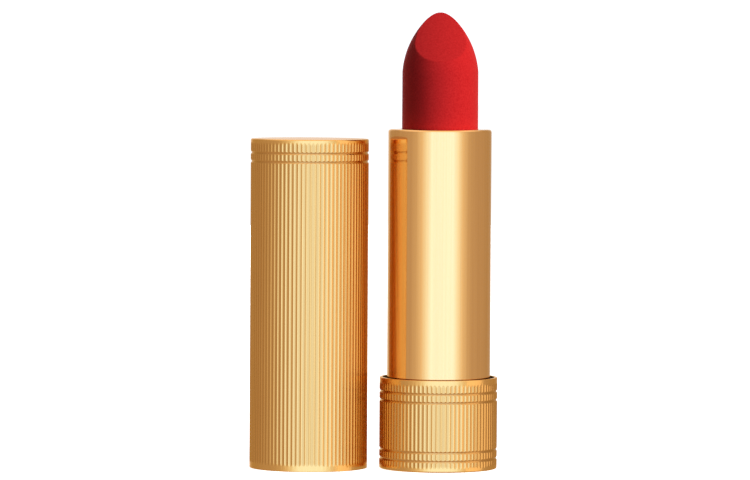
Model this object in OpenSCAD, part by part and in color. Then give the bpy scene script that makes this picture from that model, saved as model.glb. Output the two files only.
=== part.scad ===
// Twist-up lipstick case: fluted metal cap, fluted base, smooth sleeve and the
// screw mechanism inside. The open case stands on the origin and its cap stands
// beside it, along -X. Turning the sleeve on the base screws the bullet up or down.

/* [Bullet] */
// Diameter of the bullet
bullet_d = 12.7; // [10:0.1:16]
// Length of the bullet's straight part, from its foot to its nose
bullet_straight = 22.1; // [18:0.1:28]
// Radius of the arc that shapes the nose
nose_arc_r = 13.9; // [12:0.1:20]
// Angle of the slanted cut, from the horizontal
cut_angle = 49; // [35:1:55]
// Height of the cut on the bullet's axis, above the straight part
cut_rise = 9.9; // [7:0.1:10.5]

/* [Case] */
// Height of the base, from its underside to its rim
base_h = 15.2; // [12.5:0.1:20]
// Height of the sleeve above the base's rim
sleeve_rise = 41.2; // [34:0.1:50]
// Room inside the closed cap, above the sleeve
cap_headroom = 12.4; // [8:0.1:16]
// Gap between the cap and the base as they stand side by side
stand_gap = 2; // [1:0.1:20]

/* [Walls] */
// Wall of the metal cap and base shells
shell_wall = 0.5; // [0.4:0.05:0.8]
// Thickness of the shells' closed ends
shell_end = 0.6; // [0.45:0.05:1]
// Wall of the metal sleeve
sleeve_wall = 0.4; // [0.3:0.05:0.6]
// Thickness of the sleeve's lip, which turns in over the mechanism
lip_t = 0.45; // [0.4:0.05:0.8]
// Wall of the cap's liner
liner_wall = 0.5; // [0.4:0.05:0.8]
// Thickness of the liner's closed end
liner_end = 0.5; // [0.4:0.05:1]
// Wall of the insert's collar, inside the base's rim
collar_wall = 0.4; // [0.3:0.05:0.8]
// Wall of the spiral, which its grooves are cut into
spiral_wall = 0.69; // [0.6:0.01:1]
// Wall of the guide tube
guide_wall = 0.5; // [0.4:0.05:0.8]
// Wall of the bullet's cup
cup_wall = 0.5; // [0.4:0.05:0.8]

/* [Flutes and rings] */
// Distance between flutes, along the shell
flute_pitch = 0.716; // [0.6:0.001:1.2]
// Radius of a flute's hollow
flute_r = 0.5; // [0.45:0.01:0.8]
// Depth of a flute
flute_depth = 0.13; // [0.08:0.01:0.16]
// Depth of a ring groove, whose walls slope at 45 degrees
ring_depth = 0.2; // [0.15:0.01:0.26]
// Distance between the two ring grooves of a pair
ring_pair = 1.45; // [1:0.01:2]
// Cap's top to its nearest ring groove
cap_ring_drop = 2.3; // [1.5:0.1:4]
// Base's rim to its nearest ring groove
rim_ring_drop = 2.3; // [1.5:0.1:4]
// Base's underside to its nearest ring groove
foot_ring_rise = 1.8; // [1.2:0.05:3]
// Plain band at the cap's closed end
cap_top_plain = 0.6; // [0.3:0.05:1]
// Plain band at the cap's mouth
cap_mouth_plain = 0.85; // [0.3:0.05:1.5]
// Plain band at the base's rim
rim_plain = 0.75; // [0.3:0.05:1]
// Plain band at the base's foot
foot_plain = 0.55; // [0.3:0.05:0.8]
// Radius of the rounded edges at the shells' closed ends
edge_r = 0.25; // [0.1:0.05:0.3]
// Radius of the sleeve's rounded lip
lip_r = 0.5; // [0.2:0.05:0.5]

/* [Mechanism] */
// Travel of the bullet
stroke = 24; // [18:0.5:29]
// Rise of the bullet for one turn of the sleeve
pitch = 16; // [12:0.5:24]
// Height of the cup
cup_h = 10.5; // [8:0.5:12]
// Thickness of the cup's floor
cup_floor = 0.8; // [0.6:0.1:1.5]
// Cup's rim to the sleeve's lip, with the bullet all the way up
cup_drop = 3.5; // [2.5:0.1:5]
// Diameter of the cup's lugs
lug_d = 1.3; // [1:0.1:1.6]
// Cup's underside to the middle of its lugs
lug_rise = 1.6; // [1:0.1:3]
// Depth of the spiral's grooves
groove_depth = 0.47; // [0.35:0.01:0.55]
// Height of the guide tube's foot
foot_h = 2; // [1.5:0.1:3]
// Number of keys that stop the foot turning in the insert
key_count = 4; // [2:1:6]
// Height of the steel weight
weight_h = 6.4; // [4:0.1:7]
// Thickness of the insert's floor
insert_floor = 1; // [0.8:0.1:1.5]
// Thickness of the drag ring's cord
drag_cord_d = 0.5; // [0.4:0.02:0.6]

/* [Clearances] */
// Bullet to the sleeve's lip
lip_gap = 0.15; // [0.1:0.05:0.4]
// Cup in the guide tube
slide_gap = 0.1; // [0.05:0.01:0.2]
// Spiral round the guide tube
turn_gap = 0.06; // [0.04:0.01:0.15]
// Sleeve in the insert's collar
collar_gap = 0.3; // [0.2:0.05:0.6]
// Sleeve in the cap's liner
cap_gap = 0.2; // [0.15:0.01:0.4]
// Lugs in their slots and grooves, on each side
lug_gap = 0.12; // [0.08:0.01:0.2]
// Turning ends, one over the other
end_gap = 0.2; // [0.1:0.05:0.4]
// Dropped-in pieces in their seats
seat_gap = 0.05; // [0.02:0.01:0.1]
// Cap's grip ribs to the sleeve
grip_gap = 0.03; // [0.01:0.01:0.1]

/* [Hidden] */

$fn = 96;
eps = 0.01; // overshoot of a cut past the face that it opens

// Radii, from the bullet outwards
bullet_r = bullet_d / 2;
lip_bore_r = bullet_r + lip_gap;
cup_r = bullet_r + cup_wall;
guide_bore_r = cup_r + slide_gap;
guide_r = guide_bore_r + guide_wall;
spiral_bore_r = guide_r + turn_gap;
spiral_r = spiral_bore_r + spiral_wall;
sleeve_r = spiral_r + sleeve_wall;
liner_bore_r = sleeve_r + cap_gap;
liner_r = liner_bore_r + liner_wall;
case_r = liner_r + shell_wall;
collar_bore_r = sleeve_r + collar_gap;
base_bore_r = collar_bore_r + collar_wall;

// Heights, from the base's underside upwards
label_t = 0.15; // the label lies flush in its recess
label_margin = 2.2;
label_r = case_r - label_margin;
weight_z = shell_end;
insert_z = weight_z + weight_h + seat_gap;
collar_drop = 0.6; // base's rim to the collar's top
foot_z = insert_z + insert_floor;
turning_z = foot_z + foot_h + end_gap; // lowest face of what turns
sleeve_top = base_h + sleeve_rise;
lip_z = sleeve_top - lip_t;
guide_top = lip_z - end_gap;
bead_h = 0.6;
bead_reach = 0.19; // how far the guide tube's bead stands over the spiral
spiral_top = guide_top - bead_h - end_gap / 2;
cup_z = lip_z - cup_drop - cup_h;
lug_z = cup_z + lug_rise;
bullet_z = cup_z + cup_floor;
nose_z = bullet_z + bullet_straight;

// Mechanism
lug_end_r = spiral_bore_r + groove_depth - lug_gap;
groove_r = spiral_bore_r + groove_depth;
slot_w = lug_d + 2 * lug_gap;
helix_turn = 360 * stroke / pitch;
helix_angle = atan(pitch / (2 * PI * spiral_bore_r));
groove_step = 15; // degrees of helix that one straight cut covers
groove_overlap = 1.2; // each cut's length, over its own share of the helix
drag_r = guide_r + drag_cord_d / 2; // the drag ring hugs the guide tube and lies on its foot
drag_z = foot_z + foot_h + drag_cord_d / 2;
drag_seat_r = guide_r + drag_cord_d + seat_gap;
drag_seat_h = drag_cord_d;
cup_rib_count = 4;
cup_rib_w = 0.6;
cup_rib_reach = 0.3;
cup_rib_drop = 1; // cup's rim to the ribs' tops
cup_rib_h = cup_h - cup_floor - cup_rib_drop;
cup_vent_r = 1.5;
key_w = 1.6;
key_depth = 0.5;

// Cap
cap_h = shell_end + liner_end + cap_headroom + sleeve_rise;
cap_x = -(2 * case_r + stand_gap);
liner_lift = 0.4; // cap's mouth to the liner's end
grip_count = 6;
grip_w = 0.8;
grip_h = 8;
grip_z = 1.5;
grip_r = sleeve_r + grip_gap;

flute_count = round(2 * PI * case_r / flute_pitch);

// Disc with its upper edge rounded
module rounded_disc(r, h, edge) {
    rotate_extrude() {
        square([r - edge, h]);
        square([r, h - edge]);
        translate([r - edge, h - edge]) intersection() {
            circle(edge, $fn = 48);
            square(edge);
        }
    }
}

module fluted_column(r, h) {
    linear_extrude(h) difference() {
        circle(r);
        for (i = [0 : flute_count - 1])
            rotate(i * 360 / flute_count)
                translate([r + flute_r - flute_depth, 0]) circle(flute_r, $fn = 24);
    }
}

// Ring-shaped cutter that leaves a V groove round a column
module ring_cutter(r, z) {
    reach = 0.2;
    translate([0, 0, z]) rotate_extrude()
        polygon([[r - ring_depth, 0],
                 [r + reach, ring_depth + reach],
                 [r + reach, -ring_depth - reach]]);
}

module cap_shell() {
    rings = [cap_h - cap_ring_drop, cap_h - cap_ring_drop - ring_pair];
    color("goldenrod") translate([cap_x, 0, 0]) difference() {
        union() {
            cylinder(r = case_r, h = cap_mouth_plain);
            translate([0, 0, cap_mouth_plain])
                fluted_column(case_r, cap_h - cap_mouth_plain - cap_top_plain);
            translate([0, 0, cap_h - cap_top_plain])
                rounded_disc(case_r, cap_top_plain, edge_r);
        }
        for (z = rings) ring_cutter(case_r, z);
        translate([0, 0, -eps]) cylinder(r = liner_r, h = cap_h - shell_end + eps);
    }
}

module cap_liner() {
    liner_top = cap_h - shell_end;
    bore_top = liner_top - liner_end;
    color("gainsboro") translate([cap_x, 0, 0]) {
        difference() {
            translate([0, 0, liner_lift]) cylinder(r = liner_r, h = liner_top - liner_lift);
            translate([0, 0, liner_lift - eps])
                cylinder(r = liner_bore_r, h = bore_top - liner_lift + eps);
        }
        intersection() {
            difference() {
                translate([0, 0, liner_lift + grip_z])
                    cylinder(r = liner_bore_r + liner_wall / 2, h = grip_h);
                cylinder(r = grip_r, h = cap_h);
            }
            for (i = [0 : grip_count - 1])
                rotate(i * 360 / grip_count)
                    translate([0, -grip_w / 2, 0]) cube([case_r, grip_w, cap_h]);
        }
    }
}

module sleeve() {
    color("gold") difference() {
        translate([0, 0, turning_z]) rounded_disc(sleeve_r, sleeve_top - turning_z, lip_r);
        translate([0, 0, turning_z - eps]) cylinder(r = spiral_r, h = lip_z - turning_z + eps);
        translate([0, 0, lip_z - eps]) cylinder(r = lip_bore_r, h = lip_t + 2 * eps);
    }
}

// One helical groove, as straight cuts that overlap along the helix
module helical_groove(start_angle) {
    steps = ceil(helix_turn / groove_step);
    cut_l = groove_overlap * 2 * PI * groove_r * groove_step / 360 / cos(helix_angle);
    for (i = [0 : steps]) {
        travelled = helix_turn * i / steps;
        translate([0, 0, lug_z - pitch * travelled / 360]) rotate(start_angle - travelled)
            translate([(guide_r + groove_r) / 2, 0, 0]) rotate([helix_angle, 0, 0])
                cube([groove_r - guide_r, cut_l, slot_w], center = true);
    }
}

module spiral() {
    color("whitesmoke") difference() {
        translate([0, 0, turning_z]) cylinder(r = spiral_r, h = spiral_top - turning_z);
        translate([0, 0, turning_z - eps])
            cylinder(r = spiral_bore_r, h = spiral_top - turning_z + 2 * eps);
        translate([0, 0, turning_z - eps]) cylinder(r = drag_seat_r, h = drag_seat_h + eps);
        for (start_angle = [0, 180]) helical_groove(start_angle);
    }
}

module guide_slots() {
    slot_low = lug_z - stroke - slot_w / 2;
    for (side = [0, 180]) rotate(side) {
        translate([0, -slot_w / 2, slot_low + slot_w / 2]) cube([case_r, slot_w, stroke]);
        for (z = [lug_z - stroke, lug_z])
            translate([0, 0, z]) rotate([0, 90, 0]) cylinder(d = slot_w, h = case_r);
    }
}

// Keys that stand in from the insert's wall. With a gap and an overshoot they cut
// the notches that take them.
module foot_keys(gap, overshoot) {
    for (i = [0 : key_count - 1])
        rotate((i + 0.5) * 360 / key_count)
            translate([collar_bore_r - key_depth - gap, -key_w / 2 - gap, foot_z - overshoot])
                cube([key_depth + collar_wall / 2 + gap, key_w + 2 * gap, foot_h + 2 * overshoot]);
}

module guide_tube() {
    color("ivory") difference() {
        union() {
            translate([0, 0, foot_z]) cylinder(r = collar_bore_r - seat_gap, h = foot_h);
            translate([0, 0, foot_z]) cylinder(r = guide_r, h = guide_top - foot_z);
            translate([0, 0, guide_top - bead_h])
                cylinder(r = spiral_bore_r + bead_reach, h = bead_h);
        }
        translate([0, 0, foot_z - eps]) cylinder(r = guide_bore_r, h = guide_top - foot_z + 2 * eps);
        guide_slots();
        foot_keys(seat_gap, eps);
    }
}

module drag_ring() {
    color("dimgray") translate([0, 0, drag_z])
        rotate_extrude() translate([drag_r, 0]) circle(d = drag_cord_d, $fn = 24);
}

// Ribs inside the cup, which bite into the bullet's foot
module cup_ribs(h) {
    for (i = [0 : cup_rib_count - 1])
        rotate((i + 0.5) * 360 / cup_rib_count)
            translate([bullet_r - cup_rib_reach, -cup_rib_w / 2, 0])
                cube([cup_rib_reach + cup_wall / 2, cup_rib_w, h]);
}

module bullet_cup() {
    color("white") translate([0, 0, cup_z]) {
        difference() {
            cylinder(r = cup_r, h = cup_h);
            translate([0, 0, cup_floor]) cylinder(r = bullet_r, h = cup_h);
            translate([0, 0, -eps]) cylinder(r = cup_vent_r, h = cup_floor + 2 * eps);
        }
        translate([0, 0, cup_floor]) cup_ribs(cup_rib_h);
        for (side = [0, 180])
            rotate(side) translate([bullet_r + cup_wall / 2, 0, lug_rise]) rotate([0, 90, 0])
                cylinder(d = lug_d, h = lug_end_r - bullet_r - cup_wall / 2, $fn = 48);
    }
}

module nose_profile() {
    intersection() {
        translate([bullet_r - nose_arc_r, 0]) circle(nose_arc_r, $fn = 192);
        square([bullet_r, nose_arc_r]);
    }
}

module bullet() {
    cut_size = 2 * bullet_d; // clears the whole nose
    color("firebrick") difference() {
        translate([0, 0, bullet_z]) union() {
            cylinder(r = bullet_r, h = bullet_straight);
            translate([0, 0, bullet_straight]) rotate_extrude() nose_profile();
        }
        translate([0, 0, nose_z + cut_rise]) rotate([cut_angle, 0, 0])
            translate([-cut_size / 2, -cut_size / 2, 0]) cube(cut_size);
        translate([0, 0, bullet_z]) cup_ribs(cup_rib_h);
    }
}

module base_shell() {
    rings = [foot_ring_rise, foot_ring_rise + ring_pair,
             base_h - rim_ring_drop - ring_pair, base_h - rim_ring_drop];
    color("goldenrod") difference() {
        union() {
            translate([0, 0, foot_plain]) mirror([0, 0, 1])
                rounded_disc(case_r, foot_plain, edge_r);
            translate([0, 0, foot_plain])
                fluted_column(case_r, base_h - foot_plain - rim_plain);
            translate([0, 0, base_h - rim_plain]) rounded_disc(case_r, rim_plain, edge_r / 2);
        }
        for (z = rings) ring_cutter(case_r, z);
        translate([0, 0, shell_end]) cylinder(r = base_bore_r, h = base_h);
        translate([0, 0, -eps]) cylinder(r = label_r + seat_gap, h = label_t + eps);
    }
}

module base_insert() {
    color("slategray") {
        difference() {
            translate([0, 0, insert_z])
                cylinder(r = base_bore_r, h = base_h - collar_drop - insert_z);
            translate([0, 0, foot_z]) cylinder(r = collar_bore_r, h = base_h);
        }
        foot_keys(0, 0);
    }
}

module base_weight() {
    color("silver") translate([0, 0, weight_z])
        rounded_disc(base_bore_r - seat_gap, weight_h, edge_r);
}

module shade_label() {
    color("white") cylinder(r = label_r, h = label_t);
}

cap_shell();
cap_liner();
sleeve();
spiral();
guide_tube();
drag_ring();
bullet_cup();
bullet();
base_shell();
base_insert();
base_weight();
shade_label();
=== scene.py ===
import math

import bpy
import numpy as np
from mathutils import Matrix, Vector


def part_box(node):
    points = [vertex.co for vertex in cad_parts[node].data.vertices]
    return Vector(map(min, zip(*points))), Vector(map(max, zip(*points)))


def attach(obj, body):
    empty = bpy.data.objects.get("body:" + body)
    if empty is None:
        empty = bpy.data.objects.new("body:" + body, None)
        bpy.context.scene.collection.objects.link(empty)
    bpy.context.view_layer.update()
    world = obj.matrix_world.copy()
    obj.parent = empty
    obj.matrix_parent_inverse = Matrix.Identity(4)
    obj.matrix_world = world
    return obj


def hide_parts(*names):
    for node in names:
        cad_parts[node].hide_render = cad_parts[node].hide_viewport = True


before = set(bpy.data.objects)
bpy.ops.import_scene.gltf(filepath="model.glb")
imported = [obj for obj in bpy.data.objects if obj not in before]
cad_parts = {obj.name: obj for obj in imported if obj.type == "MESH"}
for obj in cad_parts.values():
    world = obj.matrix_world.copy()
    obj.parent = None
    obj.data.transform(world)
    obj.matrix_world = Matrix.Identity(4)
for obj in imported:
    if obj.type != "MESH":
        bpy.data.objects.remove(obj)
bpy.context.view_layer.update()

MM = 0.001
CLOSE = 0.01 * MM

# Sizes that the frame gives
cap_low, cap_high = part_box("cap_shell")
base_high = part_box("base_shell")[1]
sleeve_low, sleeve_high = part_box("sleeve")
bullet_low, bullet_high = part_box("bullet")
label_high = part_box("shade_label")[1]
CASE_R = (cap_high.x - cap_low.x) / 2
CAP_X = (cap_high.x + cap_low.x) / 2
LINER_R = (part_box("cap_liner")[1].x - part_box("cap_liner")[0].x) / 2
LINER_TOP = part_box("cap_liner")[1].z
BASE_BORE_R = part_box("base_insert")[1].x
BASE_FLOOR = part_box("base_weight")[0].z
SLEEVE_R = sleeve_high.x
SPIRAL_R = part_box("spiral")[1].x
BULLET_R = bullet_high.x

# Flutes and ring grooves, placed as on the CAD shells and about as deep
FLUTE_PITCH = 0.716 * MM
FLUTE_R = 0.72 * MM
FLUTE_DEPTH = 0.085 * MM
RUN_OUT = 0.6 * MM  # length over which a flute's end rises to the plain band
RING_DEPTH = 0.15 * MM
RING_HALF_W = 0.3 * MM
RING_BOTTOM = 0.15  # how round a groove's bottom is
RING_PAIR = 1.45 * MM
CAP_RING_DROP = 2.3 * MM
RIM_RING_DROP = 2.3 * MM
FOOT_RING_RISE = 1.8 * MM
CAP_TOP_PLAIN = 0.5 * MM
CAP_MOUTH_PLAIN = 0.85 * MM
RIM_PLAIN = 0.75 * MM
FOOT_PLAIN = 0.55 * MM
FLUTES = round(2 * math.pi * CASE_R / FLUTE_PITCH)
FLUTE_COLUMNS = [-1, -0.78, -0.52, -0.26, 0, 0.26, 0.52, 0.78, 1]  # as shares of half a flute's width

# Edges
SHELL_EDGE = 0.25 * MM
RIM_EDGE = 0.12 * MM
MOUTH_EDGE = 0.07 * MM
LIP_EDGE = 0.5 * MM
LIP_T = 0.45 * MM
LIP_BORE_R = BULLET_R + 0.15 * MM
LIP_BORE_EDGE = 0.1 * MM
LABEL_GAP = 0.05 * MM  # between the label and the wall of its recess
RECESS_EDGE = 0.03 * MM
FAN_R = 1 * MM  # where a flat end's rows stop and its fan begins

# Bullet's nose
NOSE_ARC_R = 13.9 * MM
NOSE_LENGTH = 11.0 * MM
CUT_ANGLE = math.radians(49)
CUT_RISE = 9.9 * MM
CUT_BLEND = 0.06 * MM
CUT_CROWN_R = 17 * MM  # the cut is slightly rounded from side to side
CUT_INSET = 0.08 * MM
FOOT_EDGE = 0.3 * MM
RAY_CENTRE = np.array([0, 0.9 * MM, bullet_high.z - NOSE_LENGTH + 1 * MM])  # inside the nose, for its rays


def arc(centre_r, centre_z, radius, start, end, steps=6):
    """Points of an arc in the r-z plane, from one angle to another, in degrees."""
    angles = np.radians(np.linspace(start, end, steps + 1))
    return [(centre_r + radius * math.cos(a), centre_z + radius * math.sin(a)) for a in angles]


def grid_object(name, points, closed_start, closed_end):
    """A mesh from rows of points, each row a closed loop, with a fan at each closed end."""
    rows, columns = points.shape[:2]
    vertices = points.reshape(-1, 3)
    row, column = np.meshgrid(np.arange(rows - 1), np.arange(columns), indexing="ij")
    following = (column + 1) % columns
    quads = np.stack(
        [row * columns + column, row * columns + following,
         (row + 1) * columns + following, (row + 1) * columns + column], axis=-1).reshape(-1, 4)
    faces = quads.tolist()
    if closed_start:
        vertices = np.vstack([vertices, points[0].mean(0)])
        centre = len(vertices) - 1
        faces += [[(c + 1) % columns, c, centre] for c in range(columns)]
    if closed_end:
        vertices = np.vstack([vertices, points[-1].mean(0)])
        centre = len(vertices) - 1
        last = (rows - 1) * columns
        faces += [[last + c, last + (c + 1) % columns, centre] for c in range(columns)]
    mesh = bpy.data.meshes.new(name)
    mesh.from_pydata(vertices.tolist(), [], faces)
    mesh.polygons.foreach_set("use_smooth", [True] * len(mesh.polygons))
    mesh.update()
    piece = bpy.data.objects.new(name, mesh)
    bpy.context.scene.collection.objects.link(piece)
    return piece


def revolve(profile, angles, centre_x=0.0, relief=None):
    """Points of a profile of (r, z) turned round the Z axis at centre_x, less a relief per row and column."""
    r = np.array([p[0] for p in profile])[:, None] * np.ones(len(angles))[None, :]
    z = np.array([p[1] for p in profile])[:, None] * np.ones(len(angles))[None, :]
    if relief is not None:
        r = r - relief
    return np.stack([centre_x + r * np.cos(angles), r * np.sin(angles), z], axis=-1)


# Fluted shells

def flute_columns():
    """Angles of the mesh columns, and each one's distance across its flute from the flute's middle."""
    half_width = math.sqrt(2 * FLUTE_R * FLUTE_DEPTH - FLUTE_DEPTH ** 2) / FLUTE_PITCH
    across = np.array(FLUTE_COLUMNS) * half_width
    angles = (np.arange(FLUTES)[:, None] + across[None, :]).ravel() * 2 * math.pi / FLUTES
    return angles - math.pi / 2, np.tile(across * FLUTE_PITCH, FLUTES)


def wall_heights(low, high, rings):
    """Heights of the mesh rows up a fluted wall: close together at the flutes' ends and at the rings."""
    ends = np.linspace(0, RUN_OUT, 7)
    groove = np.linspace(-1.1, 1.1, 23) * RING_HALF_W
    heights = np.concatenate([low + ends, high - ends] + [ring + groove for ring in rings])
    return np.unique(np.round(heights, 7))


def wall_relief(heights, across, low, high, rings):
    """Depth of flutes and ring grooves below the plain radius, for each row and column."""
    from_end = np.minimum(heights - low, high - heights) / RUN_OUT
    depth = FLUTE_DEPTH * (1 - (1 - np.clip(from_end, 0, 1)) ** 2)
    sag = FLUTE_R - np.sqrt(FLUTE_R ** 2 - across ** 2)
    flutes = np.maximum(depth[:, None] - sag[None, :], 0)
    off = np.min(np.abs(heights[:, None] - np.array(rings)[None, :]), axis=1) / RING_HALF_W
    rounded = np.hypot(off, RING_BOTTOM) - RING_BOTTOM
    grooves = RING_DEPTH * np.maximum(1 - rounded / (np.hypot(1, RING_BOTTOM) - RING_BOTTOM), 0)
    return np.maximum(flutes, grooves[:, None])


def mark(piece, name, values, at_centres):
    """A number on each mesh point, for the materials, with one value at the centres of both end fans."""
    attribute = piece.data.attributes.new(name, "FLOAT", "POINT")
    padded = np.concatenate([values.ravel(), [at_centres, at_centres]])
    attribute.data.foreach_set("value", padded.astype(np.float32))


def fluted_shell(name, before, low, high, rings, after, centre_x):
    """A closed shell of revolution: a plain profile, a fluted wall from low to high, and a plain profile."""
    angles, across = flute_columns()
    heights = wall_heights(low, high, rings)
    wall = [(CASE_R, z) for z in heights]
    relief = np.zeros((len(before) + len(wall) + len(after), len(angles)))
    relief[len(before):len(before) + len(wall)] = wall_relief(heights, across, low, high, rings)
    points = revolve(before + wall + after, angles, centre_x, relief)
    piece = grid_object(name, points, True, True)
    radii = np.hypot(points[..., 0] - centre_x, points[..., 1])
    height = points[..., 2]
    # Inner walls, marked for the near-black painted shade of the gap inside the rim.
    inside = (radii < BASE_BORE_R + CLOSE) & (height > BASE_FLOOR - CLOSE) & (height < LINER_TOP + CLOSE)
    # Painted shade mask: 1 on the plain surface, lower down the flutes' hollows and 0 in the ring grooves.
    mark(piece, "painted_hollow_shade", 1 - relief / RING_DEPTH, 1)
    mark(piece, "inner_shade_mask", inside, 0)
    return piece


def make_cap():
    """The cap's shell, open at the mouth, with its flutes and two ring grooves."""
    inside = [(FAN_R, LINER_TOP), (LINER_R, LINER_TOP)]
    mouth = [(LINER_R, MOUTH_EDGE)]
    mouth += arc(LINER_R + MOUTH_EDGE, MOUTH_EDGE, MOUTH_EDGE, 180, 270, 3)
    mouth += arc(CASE_R - MOUTH_EDGE, MOUTH_EDGE, MOUTH_EDGE, 270, 360, 3)
    top = cap_high.z
    crown = arc(CASE_R - SHELL_EDGE, top - SHELL_EDGE, SHELL_EDGE, 0, 90, 6)
    crown += [(CASE_R * share, top) for share in (0.9, 0.7, 0.4, 0.1)]
    rings = [top - CAP_RING_DROP - RING_PAIR, top - CAP_RING_DROP]
    return fluted_shell("cap_shell_fluted", inside + mouth, CAP_MOUTH_PLAIN, top - CAP_TOP_PLAIN,
                        rings, crown, CAP_X)


def make_base():
    """The base's shell, open at the rim, with a recess for the label and two pairs of ring grooves."""
    recess_r = label_high.x + LABEL_GAP
    foot = [(FAN_R, label_high.z), (label_high.x, label_high.z), (recess_r, label_high.z)]
    foot += [(recess_r, RECESS_EDGE), (recess_r + RECESS_EDGE, 0)]
    foot += arc(CASE_R - SHELL_EDGE, SHELL_EDGE, SHELL_EDGE, 270, 360, 6)
    top = base_high.z
    rim = arc(CASE_R - RIM_EDGE, top - RIM_EDGE, RIM_EDGE, 0, 90, 4)
    rim += arc(BASE_BORE_R + MOUTH_EDGE, top - MOUTH_EDGE, MOUTH_EDGE, 90, 180, 3)
    rim += [(BASE_BORE_R, BASE_FLOOR), (FAN_R, BASE_FLOOR)]
    rings = [FOOT_RING_RISE, FOOT_RING_RISE + RING_PAIR,
             top - RIM_RING_DROP - RING_PAIR, top - RIM_RING_DROP]
    return fluted_shell("base_shell_fluted", foot, FOOT_PLAIN, top - RIM_PLAIN, rings, rim, 0.0)


# Sleeve

def make_sleeve():
    """The smooth sleeve, with its rounded top turned in to a lip round the bullet."""
    top = sleeve_high.z
    profile = [(SPIRAL_R, top - LIP_T), (SPIRAL_R, sleeve_low.z), (SLEEVE_R, sleeve_low.z)]
    profile += [(SLEEVE_R, z) for z in np.linspace(sleeve_low.z + 0.1 * MM, top - LIP_EDGE - 0.1 * MM, 12)]
    profile += arc(SLEEVE_R - LIP_EDGE, top - LIP_EDGE, LIP_EDGE, 0, 90, 10)
    profile += arc(LIP_BORE_R + LIP_BORE_EDGE, top - LIP_BORE_EDGE, LIP_BORE_EDGE, 90, 180, 4)
    profile += [(LIP_BORE_R, top - LIP_T), (SPIRAL_R, top - LIP_T)]
    angles = np.linspace(0, 2 * math.pi, 288, endpoint=False)
    piece = grid_object("sleeve_tube", revolve(profile, angles), False, False)
    piece.data.set_sharp_from_angle(angle=math.radians(50))
    return piece


# Bullet

def smooth_max(a, b, width):
    """The larger of two values, rounded over where they meet."""
    h = np.clip(0.5 + 0.5 * (a - b) / width, 0, 1)
    return b + (a - b) * h + width * h * (1 - h)


def bullet_field(p):
    """Distance outside the bullet's nose, about: below 0 inside and above 0 outside."""
    x, y, z = p[..., 0], p[..., 1], p[..., 2]
    nose_z = bullet_high.z - NOSE_LENGTH
    centre_r = NOSE_ARC_R - BULLET_R
    above = np.maximum(z - nose_z, 0)
    ogive = np.hypot(np.hypot(x, y) + centre_r, above) - NOSE_ARC_R
    cut = -y * math.sin(CUT_ANGLE) + (z - nose_z - CUT_RISE) * math.cos(CUT_ANGLE)
    crown = x ** 2 / (2 * CUT_CROWN_R) + CUT_INSET
    return smooth_max(ogive, cut + crown, CUT_BLEND)


def surface_from(centre, directions):
    """Points where rays from a centre inside the bullet leave it."""
    near = np.zeros(directions.shape[:-1])
    far = np.full(directions.shape[:-1], 3 * BULLET_R)
    for _ in range(40):
        middle = (near + far) / 2
        inside = bullet_field(centre + directions * middle[..., None]) < 0
        near = np.where(inside, middle, near)
        far = np.where(inside, far, middle)
    return centre + directions * near[..., None]


def make_bullet():
    """The bullet: a straight body with a pointed nose and a slightly rounded slanted cut."""
    turns = np.linspace(0, 2 * math.pi, 256, endpoint=False)
    rises = np.radians(np.linspace(0, 89.6, 150))
    directions = np.stack(
        [np.cos(rises)[:, None] * np.cos(turns)[None, :],
         np.cos(rises)[:, None] * np.sin(turns)[None, :],
         np.sin(rises)[:, None] * np.ones_like(turns)[None, :]], axis=-1)
    nose = surface_from(RAY_CENTRE, directions)
    ring = nose[0]
    lower = []
    for z, shrink in [(bullet_low.z, FOOT_EDGE), (bullet_low.z + FOOT_EDGE, 0)]:
        lower.append(ring * [1 - shrink / BULLET_R, 1 - shrink / BULLET_R, 0] + [0, 0, z])
    for z in np.linspace(bullet_low.z + 1 * MM, ring[0][2], 24, endpoint=False):
        lower.append(ring * [1, 1, 0] + [0, 0, z])
    return grid_object("bullet_wax", np.concatenate([np.array(lower), nose]), True, True)


# Materials

EDGE_GOLD = (0.95, 0.72, 0.42, 1)  # the metal's tint at a glancing angle
# Near-black painted shade for the shells' inner walls, where the gap round the sleeve lies in shade.
PAINTED_GAP_SHADE = (0.035, 0.032, 0.03, 1)


def new_material(name):
    """A material with its nodes, its links and its shader."""
    material = bpy.data.materials.new(name)
    material.use_nodes = True
    nodes = material.node_tree.nodes
    return material, nodes, material.node_tree.links, nodes["Principled BSDF"]


def noise(nodes, links, scale, stretch=(1, 1, 1), detail=4.0):
    """A noise texture over the object's own coordinates, stretched by a scale on each axis."""
    place = nodes.new("ShaderNodeTexCoord")
    mapping = nodes.new("ShaderNodeMapping")
    mapping.inputs["Scale"].default_value = stretch
    texture = nodes.new("ShaderNodeTexNoise")
    texture.inputs["Scale"].default_value = scale
    texture.inputs["Detail"].default_value = detail
    links.new(place.outputs["Object"], mapping.inputs["Vector"])
    links.new(mapping.outputs["Vector"], texture.inputs["Vector"])
    return texture.outputs["Fac"]


def spread(nodes, links, value, low, high, from_low=0.3, from_high=0.7):
    """A value mapped from one range to another."""
    node = nodes.new("ShaderNodeMapRange")
    node.inputs["From Min"].default_value = from_low
    node.inputs["From Max"].default_value = from_high
    node.inputs["To Min"].default_value = low
    node.inputs["To Max"].default_value = high
    links.new(value, node.inputs["Value"])
    return node.outputs["Result"]


def two_tone(nodes, links, value, dark, light):
    """A colour between two, by a value from 0 to 1."""
    node = nodes.new("ShaderNodeMix")
    node.data_type = "RGBA"
    node.inputs["A"].default_value = (*dark, 1)
    node.inputs["B"].default_value = (*light, 1)
    links.new(value, node.inputs["Factor"])
    return node.outputs["Result"]


def bump(nodes, links, value, depth, strength):
    """A relief from a value, with its depth in metres."""
    node = nodes.new("ShaderNodeBump")
    node.inputs["Distance"].default_value = depth
    node.inputs["Strength"].default_value = strength
    links.new(value, node.inputs["Height"])
    return node.outputs["Normal"]


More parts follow.
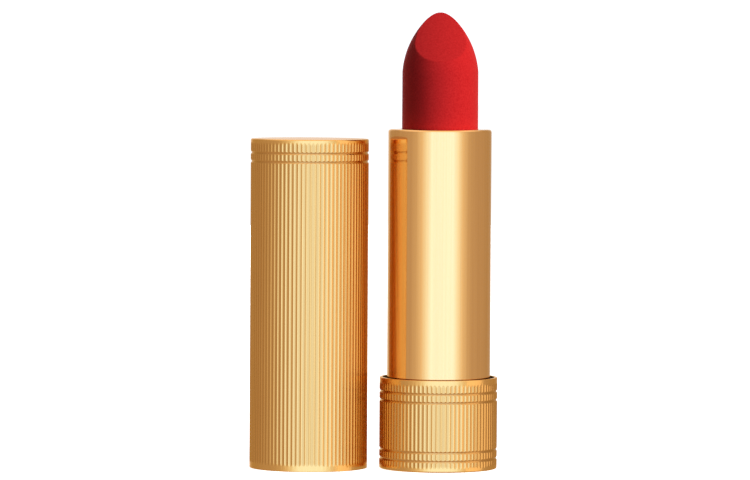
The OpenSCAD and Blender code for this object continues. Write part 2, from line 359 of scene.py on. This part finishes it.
def metal_with_lacquer(shader, lacquer):
    """Metal under a thin clear lacquer, which adds a colourless shine."""
    shader.inputs["Metallic"].default_value = 1.0
    shader.inputs["Specular Tint"].default_value = EDGE_GOLD
    shader.inputs["Coat Weight"].default_value = lacquer
    shader.inputs["Coat Roughness"].default_value = 0.2
    shader.inputs["Coat IOR"].default_value = 1.5


def paint_inner_shade(nodes, links, colour):
    """Paints the shells' inner walls near-black: painted shade for the dark gap inside the rim."""
    inner_shade_mask = nodes.new("ShaderNodeAttribute")
    inner_shade_mask.attribute_name = "inner_shade_mask"
    node = nodes.new("ShaderNodeMix")
    node.data_type = "RGBA"
    node.inputs["B"].default_value = PAINTED_GAP_SHADE
    links.new(colour, node.inputs["A"])
    links.new(inner_shade_mask.outputs["Fac"], node.inputs["Factor"])
    return node.outputs["Result"]


def fluted_gold():
    """Satin anodised gold with fine streaks of tone. Painted shade darkens the flutes' hollows and the ring
    grooves, so the crests read brighter.
    """
    material, nodes, links, shader = new_material("satin_gold_fluted")
    painted_hollow_shade = nodes.new("ShaderNodeAttribute")
    painted_hollow_shade.attribute_name = "painted_hollow_shade"
    streaks = noise(nodes, links, 1.0, (9000, 9000, 60), 3)
    grain = noise(nodes, links, 14000, detail=2)
    tone = nodes.new("ShaderNodeMath")
    tone.operation = "MULTIPLY_ADD"
    links.new(streaks, tone.inputs[0])
    tone.inputs[1].default_value = 0.5
    links.new(spread(nodes, links, painted_hollow_shade.outputs["Fac"], 0.0, 0.5, 0.3, 1.0), tone.inputs[2])
    # The gold is darker by the streaks, a real tone, and by the painted shade in the hollows and grooves.
    gold = two_tone(nodes, links, tone.outputs["Value"], (0.53, 0.24, 0.064), (0.92, 0.490, 0.145))
    links.new(paint_inner_shade(nodes, links, gold), shader.inputs["Base Color"])
    links.new(spread(nodes, links, grain, 0.2, 0.23), shader.inputs["Roughness"])
    links.new(bump(nodes, links, grain, 0.0006 * MM, 0.3), shader.inputs["Normal"])
    metal_with_lacquer(shader, 0.14)
    return material


def brushed_gold():
    """The same gold, smooth, with fine brushing along the sleeve."""
    material, nodes, links, shader = new_material("satin_gold_brushed")
    fine = noise(nodes, links, 1.0, (14000, 14000, 90), 4)
    broad = noise(nodes, links, 1.0, (2600, 2600, 12), 3)
    tone = nodes.new("ShaderNodeMath")
    tone.operation = "MULTIPLY_ADD"
    links.new(fine, tone.inputs[0])
    tone.inputs[1].default_value = 0.45
    links.new(spread(nodes, links, broad, 0.05, 0.5), tone.inputs[2])
    links.new(two_tone(nodes, links, tone.outputs["Value"], (0.80, 0.405, 0.13), (0.92, 0.495, 0.172)),
              shader.inputs["Base Color"])
    links.new(spread(nodes, links, fine, 0.02, 0.06), shader.inputs["Roughness"])
    links.new(bump(nodes, links, fine, 0.0008 * MM, 0.4), shader.inputs["Normal"])
    metal_with_lacquer(shader, 0.6)
    return material


def velvet_wax():
    """Matte lipstick wax, with a fine velvety grain and slight mottling."""
    material, nodes, links, shader = new_material("velvet_red_wax")
    mottle = noise(nodes, links, 3500, detail=6)
    grain = noise(nodes, links, 9000, detail=3)
    tone = spread(nodes, links, mottle, 0, 1)
    links.new(two_tone(nodes, links, tone, (0.56, 0.011, 0.012), (0.68, 0.022, 0.021)),
              shader.inputs["Base Color"])
    links.new(spread(nodes, links, grain, 0.55, 0.72), shader.inputs["Roughness"])
    links.new(bump(nodes, links, grain, 0.006 * MM, 0.5), shader.inputs["Normal"])
    shader.inputs["Specular IOR Level"].default_value = 0.15
    shader.inputs["Sheen Weight"].default_value = 0.04
    shader.inputs["Sheen Roughness"].default_value = 0.5
    return material


def plastic(name, dark, light, rough_low, rough_high, scale=3000):
    """Moulded plastic with a slight change of tone and a fine spark-eroded grain."""
    material, nodes, links, shader = new_material(name)
    mottle = noise(nodes, links, scale / 4, detail=3)
    grain = noise(nodes, links, scale * 3, detail=2)
    tone = spread(nodes, links, mottle, 0, 1)
    links.new(two_tone(nodes, links, tone, dark, light), shader.inputs["Base Color"])
    links.new(spread(nodes, links, grain, rough_low, rough_high), shader.inputs["Roughness"])
    links.new(bump(nodes, links, grain, 0.004 * MM, 0.4), shader.inputs["Normal"])
    return material


def steel():
    """Turned steel with fine rings from the lathe and a zinc finish."""
    material, nodes, links, shader = new_material("turned_steel")
    rings = noise(nodes, links, 2500, (0.2, 0.2, 3), 3)
    tone = spread(nodes, links, rings, 0, 1)
    links.new(two_tone(nodes, links, tone, (0.45, 0.45, 0.47), (0.62, 0.62, 0.64)),
              shader.inputs["Base Color"])
    links.new(spread(nodes, links, rings, 0.3, 0.45), shader.inputs["Roughness"])
    links.new(bump(nodes, links, rings, 0.003 * MM, 0.5), shader.inputs["Normal"])
    shader.inputs["Metallic"].default_value = 1.0
    return material


def dress(piece, material):
    """Gives a piece one material, in place of any that it has."""
    piece.data.materials.clear()
    piece.data.materials.append(material)


# Pieces

gold_fluted = fluted_gold()
cap = make_cap()
dress(cap, gold_fluted)
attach(cap, "cap")
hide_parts("cap_shell")

base = make_base()
dress(base, gold_fluted)
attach(base, "base")
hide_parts("base_shell")

sleeve = make_sleeve()
dress(sleeve, brushed_gold())
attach(sleeve, "sleeve")
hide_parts("sleeve")

bullet = make_bullet()
dress(bullet, velvet_wax())
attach(bullet, "carrier")
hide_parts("bullet")

mechanism_white = plastic("moulded_white", (0.72, 0.71, 0.67), (0.80, 0.79, 0.76), 0.28, 0.4)
CAD_FINISHES = {
    "cap_liner": plastic("moulded_liner", (0.045, 0.045, 0.05), (0.065, 0.065, 0.07), 0.35, 0.5),
    "spiral": mechanism_white,
    "guide_tube": mechanism_white,
    "bullet_cup": mechanism_white,
    "drag_ring": plastic("silicone_ring", (0.05, 0.05, 0.055), (0.07, 0.07, 0.075), 0.5, 0.65),
    "base_insert": plastic("moulded_insert", (0.02, 0.018, 0.018), (0.035, 0.032, 0.03), 0.35, 0.5),
    "base_weight": steel(),
    "shade_label": plastic("plain_label", (0.80, 0.79, 0.76), (0.86, 0.85, 0.82), 0.35, 0.45),
}
for node_name, finish in CAD_FINISHES.items():
    dress(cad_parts[node_name], finish)


# Floor, backdrop and lights

CASE_MIDDLE_Z = 35 * MM


def stage_material(name, colour, emission):
    """A matt material that also gives off its own colour."""
    material, _, _, shader = new_material(name)
    shader.inputs["Base Color"].default_value = (*colour, 1)
    shader.inputs["Roughness"].default_value = 0.9
    shader.inputs["Specular IOR Level"].default_value = 0.0
    shader.inputs["Emission Color"].default_value = (*colour, 1)
    shader.inputs["Emission Strength"].default_value = emission
    return material


def camera_only(piece):
    """Hides a piece from everything but the camera."""
    piece.visible_diffuse = False
    piece.visible_glossy = False
    piece.visible_transmission = False
    piece.visible_volume_scatter = False
    piece.visible_shadow = False


def make_floor(radius):
    """A plain pale floor under the object."""
    bpy.ops.mesh.primitive_circle_add(vertices=96, radius=radius, fill_type="NGON")
    floor = bpy.context.object
    floor.name = "floor"
    floor.visible_glossy = False
    floor.visible_diffuse = False
    dress(floor, stage_material("pale_floor", (0.93, 0.93, 0.93), 1.02))


def make_backdrop(radius):
    """A plain white sphere round it all, for the camera alone."""
    bpy.ops.mesh.primitive_uv_sphere_add(segments=64, ring_count=32, radius=radius)
    backdrop = bpy.context.object
    backdrop.name = "backdrop"
    camera_only(backdrop)
    dress(backdrop, stage_material("pale_backdrop", (1, 1, 1), 1.0))


def area_light(name, azimuth, distance, height, width, tall, power, colour, glossy=True, diffuse=True):
    """A soft box that faces the object. Azimuth 0 is in front and 90 is at the right."""
    light = bpy.data.lights.new(name, "AREA")
    light.shape = "RECTANGLE"
    light.size = width
    light.size_y = tall
    light.energy = power
    light.color = colour
    piece = bpy.data.objects.new(name, light)
    a = math.radians(azimuth)
    piece.location = (distance * math.sin(a), -distance * math.cos(a), height)
    target = Vector((0, 0, CASE_MIDDLE_Z))
    piece.rotation_mode = "QUATERNION"
    piece.rotation_quaternion = (target - piece.location).to_track_quat("-Z", "Y")
    piece.visible_camera = False
    piece.visible_glossy = glossy
    piece.visible_diffuse = diffuse
    bpy.context.scene.collection.objects.link(piece)
    return piece


def make_world(middle, ramp, overhead, below, fill):
    """Studio walls with a wide diffuser in front that fades to both sides. The ramp gives the light's
    colour by the angle from the diffuser's middle, overhead and below are the ceiling and the floor, and
    fill is the share of it all that lights matte surfaces."""
    world = bpy.data.worlds.new("studio")
    bpy.context.scene.world = world
    world.use_nodes = True
    nodes, links = world.node_tree.nodes, world.node_tree.links
    place = nodes.new("ShaderNodeTexCoord")
    turn = nodes.new("ShaderNodeVectorRotate")
    turn.rotation_type = "Z_AXIS"
    turn.inputs["Angle"].default_value = math.radians(-middle)
    links.new(place.outputs["Generated"], turn.inputs["Vector"])
    parts = nodes.new("ShaderNodeSeparateXYZ")
    links.new(turn.outputs["Vector"], parts.inputs["Vector"])
    aside = nodes.new("ShaderNodeMath")
    aside.operation = "ABSOLUTE"
    links.new(parts.outputs["X"], aside.inputs[0])
    ahead = nodes.new("ShaderNodeMath")
    ahead.operation = "MULTIPLY"
    ahead.inputs[1].default_value = -1.0
    links.new(parts.outputs["Y"], ahead.inputs[0])
    angle = nodes.new("ShaderNodeMath")
    angle.operation = "ARCTAN2"
    links.new(aside.outputs["Value"], angle.inputs[0])
    links.new(ahead.outputs["Value"], angle.inputs[1])
    half_turn = nodes.new("ShaderNodeMath")
    half_turn.operation = "DIVIDE"
    half_turn.inputs[1].default_value = math.pi
    links.new(angle.outputs["Value"], half_turn.inputs[0])
    fade = nodes.new("ShaderNodeValToRGB")
    stops = fade.color_ramp.elements
    while len(stops) < len(ramp):
        stops.new(0.5)
    brightest = max(max(colour) for _, colour in ramp)
    for stop, (degrees, colour) in zip(stops, ramp):
        stop.position = degrees / 180
        stop.color = (*[value / brightest for value in colour], 1)
    links.new(half_turn.outputs["Value"], fade.inputs["Fac"])
    colour = fade.outputs["Color"]
    for low, high, tone in [(0.45, 0.85, overhead), (-0.3, -0.7, below)]:
        share = nodes.new("ShaderNodeMapRange")
        share.interpolation_type = "SMOOTHSTEP"
        share.inputs["From Min"].default_value = low
        share.inputs["From Max"].default_value = high
        links.new(parts.outputs["Z"], share.inputs["Value"])
        mixed = nodes.new("ShaderNodeMix")
        mixed.data_type = "RGBA"
        mixed.inputs["B"].default_value = (*[value / brightest for value in tone], 1)
        links.new(colour, mixed.inputs["A"])
        links.new(share.outputs["Result"], mixed.inputs["Factor"])
        colour = mixed.outputs["Result"]
    ray = nodes.new("ShaderNodeLightPath")
    strength = nodes.new("ShaderNodeMapRange")
    strength.inputs["To Min"].default_value = fill * brightest
    strength.inputs["To Max"].default_value = brightest
    links.new(ray.outputs["Is Glossy Ray"], strength.inputs["Value"])
    background = nodes["Background"]
    links.new(colour, background.inputs["Color"])
    links.new(strength.outputs["Result"], background.inputs["Strength"])


def make_flute_strip(*shells):
    """A tall strip light at the right that shows in the fluted shells alone."""
    strip = area_light("flute_strip", azimuth=76, distance=0.9, height=0.1, width=0.6, tall=1.2,
                       power=1.6, colour=(0.90, 0.88, 0.80), diffuse=False)
    lit = bpy.data.collections.new("fluted_shells")
    for shell in shells:
        lit.objects.link(shell)
    strip.light_linking.receiver_collection = lit


# The diffuser's light by the angle from its middle, in degrees
DIFFUSER = [(24, (1.3, 1.97, 3.2)), (35, (1.15, 1.55, 2.0)), (46, (0.98, 1.02, 0.98)),
            (60, (0.73, 0.70, 0.62)), (75, (0.62, 0.56, 0.48)), (100, (0.58, 0.51, 0.42)),
            (130, (0.53, 0.46, 0.36)), (150, (0.56, 0.50, 0.42)), (180, (1.1, 1.15, 1.2))]

make_floor(radius=4.0)
make_backdrop(radius=3.9)
make_world(middle=6, ramp=DIFFUSER, overhead=(1.25, 1.2, 1.15), below=(0.70, 0.60, 0.48), fill=0.13)
area_light("right_softbox", azimuth=55, distance=0.9, height=0.40, width=0.5, tall=0.5,
           power=10.5, colour=(1.0, 1.0, 1.0), glossy=False)
area_light("back_fill", azimuth=190, distance=0.9, height=0.30, width=0.6, tall=0.6,
           power=5.0, colour=(1.0, 1.0, 1.0), glossy=False)
make_flute_strip(cap, base)


# Camera

def make_camera():
    """A long lens a little above the object's middle, tilted slightly down."""
    distance = 0.8
    height = 72.8 * MM
    aim = Vector((-10.69 * MM, 0, 37.9 * MM))
    roll = math.radians(0.336)
    camera = bpy.data.cameras.new("camera")
    camera.sensor_width = 36.0
    camera.lens = 231.25
    camera.clip_start = 0.01
    camera.clip_end = 50.0
    piece = bpy.data.objects.new("camera", camera)
    piece.location = (aim.x, -distance, height)
    look = (aim - piece.location).to_track_quat("-Z", "Y").to_matrix().to_4x4()
    piece.matrix_world = Matrix.Translation(piece.location) @ look @ Matrix.Rotation(roll, 4, "Z")
    bpy.context.scene.collection.objects.link(piece)
    bpy.context.scene.camera = piece


make_camera()
bpy.context.scene.view_settings.view_transform = "Standard"
